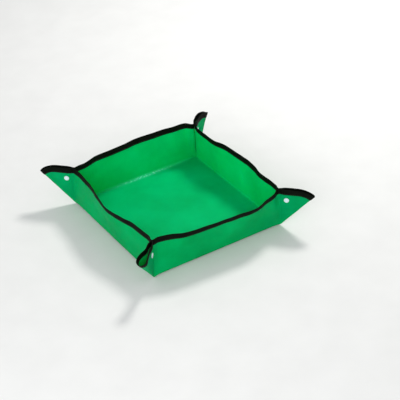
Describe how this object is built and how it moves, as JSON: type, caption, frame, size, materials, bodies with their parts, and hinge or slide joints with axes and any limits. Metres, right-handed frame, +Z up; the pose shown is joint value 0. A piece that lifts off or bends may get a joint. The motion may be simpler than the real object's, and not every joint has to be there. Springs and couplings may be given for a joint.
{
  "type": "gardening mat",
  "caption": "Square plastic potting mat with bound edges whose four corners snap up to form a shallow tray and open flat.",
  "frame": {"origin": "on the resting plane, under the centre of the floor", "axes": "+X along the narrow side, +Y along the long side, +Z up out of the tray"},
  "size_m": [0.4173, 0.4214, 0.0874],
  "materials": {
    "sheet": "satin laminated polyethylene",
    "binding_tape": "woven ribbed tape",
    "snap_plastic": "glossy"
  },
  "bodies": {
    "floor": {"floor_panel": "sheet"},
    "front_wall": {"front_wall_panel": "sheet", "front_wall_binding": "binding_tape"},
    "right_wall": {"right_wall_panel": "sheet", "right_wall_binding": "binding_tape"},
    "back_wall": {"back_wall_panel": "sheet", "back_wall_binding": "binding_tape"},
    "left_wall": {"left_wall_panel": "sheet", "left_wall_binding": "binding_tape"},
    "front_left_ear_front": {"front_left_ear_front_panel": "sheet", "front_left_ear_front_binding": "binding_tape", "front_left_snap_front_cap": "snap_plastic", "front_left_snap_stud": "snap_plastic"},
    "front_left_tip_front": {"front_left_tip_front_panel": "sheet", "front_left_tip_front_binding": "binding_tape"},
    "front_left_ear_left": {"front_left_ear_left_panel": "sheet", "front_left_ear_left_binding": "binding_tape", "front_left_snap_left_cap": "snap_plastic", "front_left_snap_socket": "snap_plastic"},
    "front_left_tip_left": {"front_left_tip_left_panel": "sheet", "front_left_tip_left_binding": "binding_tape"},
    "front_right_ear_front": {"front_right_ear_front_panel": "sheet", "front_right_ear_front_binding": "binding_tape", "front_right_snap_front_cap": "snap_plastic", "front_right_snap_stud": "snap_plastic"},
    "front_right_tip_front": {"front_right_tip_front_panel": "sheet", "front_right_tip_front_binding": "binding_tape"},
    "front_right_ear_right": {"front_right_ear_right_panel": "sheet", "front_right_ear_right_binding": "binding_tape", "front_right_snap_right_cap": "snap_plastic", "front_right_snap_socket": "snap_plastic"},
    "front_right_tip_right": {"front_right_tip_right_panel": "sheet", "front_right_tip_right_binding": "binding_tape"},
    "back_right_ear_back": {"back_right_ear_back_panel": "sheet", "back_right_ear_back_binding": "binding_tape", "back_right_snap_back_cap": "snap_plastic", "back_right_snap_stud": "snap_plastic"},
    "back_right_tip_back": {"back_right_tip_back_panel": "sheet", "back_right_tip_back_binding": "binding_tape"},
    "back_right_ear_right": {"back_right_ear_right_panel": "sheet", "back_right_ear_right_binding": "binding_tape", "back_right_snap_right_cap": "snap_plastic", "back_right_snap_socket": "snap_plastic"},
    "back_right_tip_right": {"back_right_tip_right_panel": "sheet", "back_right_tip_right_binding": "binding_tape"},
    "back_left_ear_back": {"back_left_ear_back_panel": "sheet", "back_left_ear_back_binding": "binding_tape", "back_left_snap_back_cap": "snap_plastic", "back_left_snap_stud": "snap_plastic"},
    "back_left_tip_back": {"back_left_tip_back_panel": "sheet", "back_left_tip_back_binding": "binding_tape"},
    "back_left_ear_left": {"back_left_ear_left_panel": "sheet", "back_left_ear_left_binding": "binding_tape", "back_left_snap_left_cap": "snap_plastic", "back_left_snap_socket": "snap_plastic"},
    "back_left_tip_left": {"back_left_tip_left_panel": "sheet", "back_left_tip_left_binding": "binding_tape"}
  },
  "joints": [
    {"name": "front_wall_fold", "type": "hinge", "parent": "floor", "child": "front_wall", "pos_m": [0, -0.16, 0.0002], "axis": [1, 0, 0], "range_deg": [0, 91.89]},
    {"name": "right_wall_fold", "type": "hinge", "parent": "floor", "child": "right_wall", "pos_m": [0.1525, 0, 0.0002], "axis": [0, 1, 0], "range_deg": [0, 91.89]},
    {"name": "back_wall_fold", "type": "hinge", "parent": "floor", "child": "back_wall", "pos_m": [0, 0.16, 0.0002], "axis": [-1, 0, 0], "range_deg": [0, 91.89]},
    {"name": "left_wall_fold", "type": "hinge", "parent": "floor", "child": "left_wall", "pos_m": [-0.1525, 0, 0.0002], "axis": [0, -1, 0], "range_deg": [0, 91.89]},
    {"name": "front_left_ear_front_fold", "type": "hinge", "parent": "front_wall", "child": "front_left_ear_front", "pos_m": [-0.1525, -0.16, 0.0002], "axis": [-0.0509, -0.033, -0.9982], "range_deg": [0, 48.1]},
    {"name": "front_left_tip_front_fold", "type": "hinge", "parent": "front_left_ear_front", "child": "front_left_tip_front", "pos_m": [-0.15244, -0.16043, 0.00091], "axis": [-0.3808, -0.4425, 0.8119], "range_deg": [0, 45.5]},
    {"name": "front_left_ear_left_fold", "type": "hinge", "parent": "left_wall", "child": "front_left_ear_left", "pos_m": [-0.1525, -0.16, 0.0002], "axis": [0.033, 0.0509, 0.9982], "range_deg": [0, 57.53]},
    {"name": "front_left_tip_left_fold", "type": "hinge", "parent": "front_left_ear_left", "child": "front_left_tip_left", "pos_m": [-0.15293, -0.15994, 0.0009], "axis": [0.5117, 0.3027, -0.804], "range_deg": [0, 52.5]},
    {"name": "front_right_ear_front_fold", "type": "hinge", "parent": "front_wall", "child": "front_right_ear_front", "pos_m": [0.1525, -0.16, 0.0002], "axis": [-0.0509, 0.033, 0.9982], "range_deg": [0, 47.29]},
    {"name": "front_right_tip_front_fold", "type": "hinge", "parent": "front_right_ear_front", "child": "front_right_tip_front", "pos_m": [0.15244, -0.16043, 0.0009], "axis": [-0.4364, 0.4883, -0.7557], "range_deg": [0, 44.69]},
    {"name": "front_right_ear_right_fold", "type": "hinge", "parent": "right_wall", "child": "front_right_ear_right", "pos_m": [0.1525, -0.16, 0.0002], "axis": [0.033, -0.0509, -0.9982], "range_deg": [0, 47.29]},
    {"name": "front_right_tip_right_fold", "type": "hinge", "parent": "front_right_ear_right", "child": "front_right_tip_right", "pos_m": [0.15293, -0.15994, 0.0009], "axis": [0.4883, -0.4364, 0.7557], "range_deg": [0, 44.69]},
    {"name": "back_right_ear_back_fold", "type": "hinge", "parent": "back_wall", "child": "back_right_ear_back", "pos_m": [0.1525, 0.16, 0.0002], "axis": [0.0509, 0.033, -0.9982], "range_deg": [0, 37.95]},
    {"name": "back_right_tip_back_fold", "type": "hinge", "parent": "back_right_ear_back", "child": "back_right_tip_back", "pos_m": [0.15244, 0.16043, 0.0009], "axis": [0.512, 0.4035, 0.7583], "range_deg": [0, 38.11]},
    {"name": "back_right_ear_right_fold", "type": "hinge", "parent": "right_wall", "child": "back_right_ear_right", "pos_m": [0.1525, 0.16, 0.0002], "axis": [-0.033, -0.0509, 0.9982], "range_deg": [0, 56.61]},
    {"name": "back_right_tip_right_fold", "type": "hinge", "parent": "back_right_ear_right", "child": "back_right_tip_right", "pos_m": [0.15293, 0.15994, 0.0009], "axis": [-0.5596, -0.3481, -0.7521], "range_deg": [0, 51.28]},
    {"name": "back_left_ear_back_fold", "type": "hinge", "parent": "back_wall", "child": "back_left_ear_back", "pos_m": [-0.1525, 0.16, 0.0002], "axis": [0.0509, -0.033, 0.9982], "range_deg": [0, 47.29]},
    {"name": "back_left_tip_back_fold", "type": "hinge", "parent": "back_left_ear_back", "child": "back_left_tip_back", "pos_m": [-0.15244, 0.16043, 0.0009], "axis": [0.4364, -0.4883, -0.7557], "range_deg": [0, 44.69]},
    {"name": "back_left_ear_left_fold", "type": "hinge", "parent": "left_wall", "child": "back_left_ear_left", "pos_m": [-0.1525, 0.16, 0.0002], "axis": [-0.033, 0.0509, -0.9982], "range_deg": [0, 47.29]},
    {"name": "back_left_tip_left_fold", "type": "hinge", "parent": "back_left_ear_left", "child": "back_left_tip_left", "pos_m": [-0.15293, 0.15994, 0.0009], "axis": [-0.4883, 0.4364, 0.7557], "range_deg": [0, 44.69]}
  ],
  "couplings": [
    {"joint": "right_wall_fold", "follows": "front_wall_fold", "ratio": 1},
    {"joint": "back_wall_fold", "follows": "front_wall_fold", "ratio": 1},
    {"joint": "left_wall_fold", "follows": "front_wall_fold", "ratio": 1},
    {"joint": "front_left_ear_front_fold", "follows": "front_wall_fold", "ratio": 0.52344},
    {"joint": "front_left_tip_front_fold", "follows": "front_wall_fold", "ratio": 0.49514},
    {"joint": "front_left_ear_left_fold", "follows": "front_wall_fold", "ratio": 0.62607},
    {"joint": "front_left_tip_left_fold", "follows": "front_wall_fold", "ratio": 0.57129},
    {"joint": "front_right_ear_front_fold", "follows": "front_wall_fold", "ratio": 0.51463},
    {"joint": "front_right_tip_front_fold", "follows": "front_wall_fold", "ratio": 0.48634},
    {"joint": "front_right_ear_right_fold", "follows": "front_wall_fold", "ratio": 0.51463},
    {"joint": "front_right_tip_right_fold", "follows": "front_wall_fold", "ratio": 0.48634},
    {"joint": "back_right_ear_back_fold", "follows": "front_wall_fold", "ratio": 0.41298},
    {"joint": "back_right_tip_back_fold", "follows": "front_wall_fold", "ratio": 0.41468},
    {"joint": "back_right_ear_right_fold", "follows": "front_wall_fold", "ratio": 0.61607},
    {"joint": "back_right_tip_right_fold", "follows": "front_wall_fold", "ratio": 0.55799},
    {"joint": "back_left_ear_back_fold", "follows": "front_wall_fold", "ratio": 0.51463},
    {"joint": "back_left_tip_back_fold", "follows": "front_wall_fold", "ratio": 0.48634},
    {"joint": "back_left_ear_left_fold", "follows": "front_wall_fold", "ratio": 0.51463},
    {"joint": "back_left_tip_left_fold", "follows": "front_wall_fold", "ratio": 0.48634}
  ]
}
